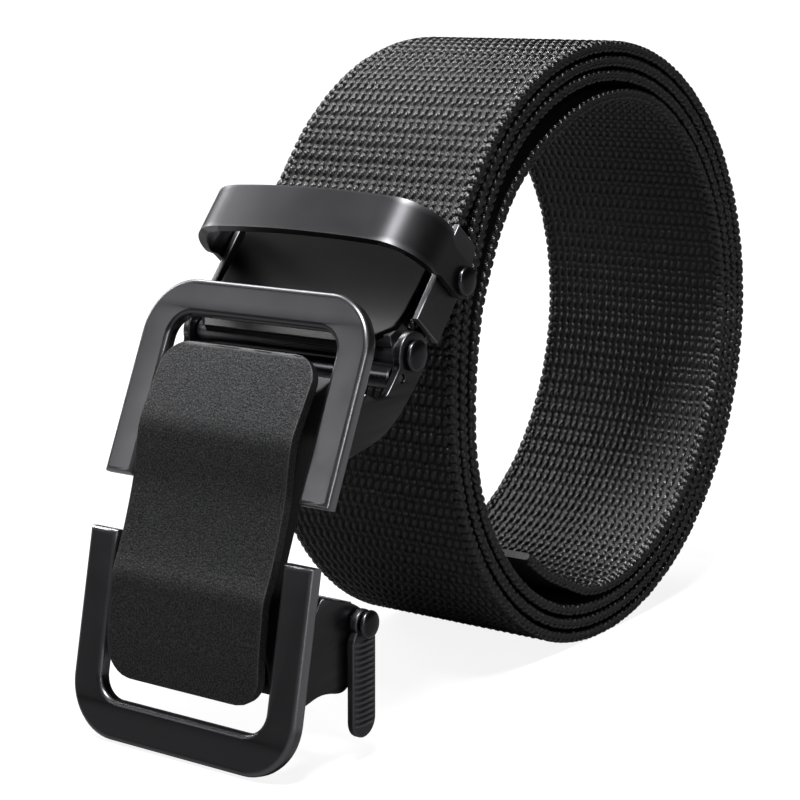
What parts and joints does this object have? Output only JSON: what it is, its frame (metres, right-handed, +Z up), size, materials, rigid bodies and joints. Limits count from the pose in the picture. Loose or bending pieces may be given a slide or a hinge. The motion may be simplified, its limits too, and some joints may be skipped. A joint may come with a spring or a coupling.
{
  "type": "ratchet belt",
  "caption": "Woven webbing belt rolled up on its edge, with a hinged black metal automatic buckle, a strap keeper loop, an open two-part frame, a wavy front plate and a side release lever.",
  "frame": {"origin": "On the floor under the middle of the whole belt as it stands, buckle and roll together.", "axes": "+Z is up, X runs across the width of the strap, and the buckle is on the -Y side of the roll."},
  "size_m": [0.0464, 0.1382, 0.1],
  "materials": {
    "webbing": "heavy woven nylon webbing, matte black with a slight sheen on the ribs",
    "satin_black": "zinc alloy with a satin black coating, lighter where the chamfers catch the light",
    "blasted_black": "zinc alloy blasted to a fine grain under a matte black coating",
    "dark_steel": "blackened steel, smooth and slightly glossy"
  },
  "bodies": {
    "strap_end": {"strap": "webbing", "clamp": "satin_black", "keeper_rivet_right": "dark_steel", "keeper_rivet_left": "dark_steel"},
    "keeper_loop": {"keeper": "satin_black"},
    "buckle": {"upper_frame": "satin_black", "lower_frame": "satin_black", "plate_block": "dark_steel", "front_plate": "blasted_black", "guide_rod": "dark_steel", "hinge_pin": "dark_steel"},
    "lever": {"cam": "dark_steel", "release_lever": "satin_black"}
  },
  "joints": [
    {"name": "keeper_hinge", "type": "hinge", "parent": "strap_end", "child": "keeper_loop", "pos_m": [-0.00035, -0.0275, 0.06628], "axis": [1, 0, 0], "range_deg": [-20, 15]},
    {"name": "buckle_hinge", "type": "hinge", "parent": "strap_end", "child": "buckle", "pos_m": [-0.00035, -0.03859, 0.05665], "axis": [1, 0, 0], "range_deg": [-30, 8]},
    {"name": "lever_hinge", "type": "hinge", "parent": "buckle", "child": "lever", "pos_m": [-0.00035, -0.05257, 0.02036], "axis": [1, 0, 0], "range_deg": [0, 25], "stiffness_Nm_per_rad": 0.02}
  ]
}
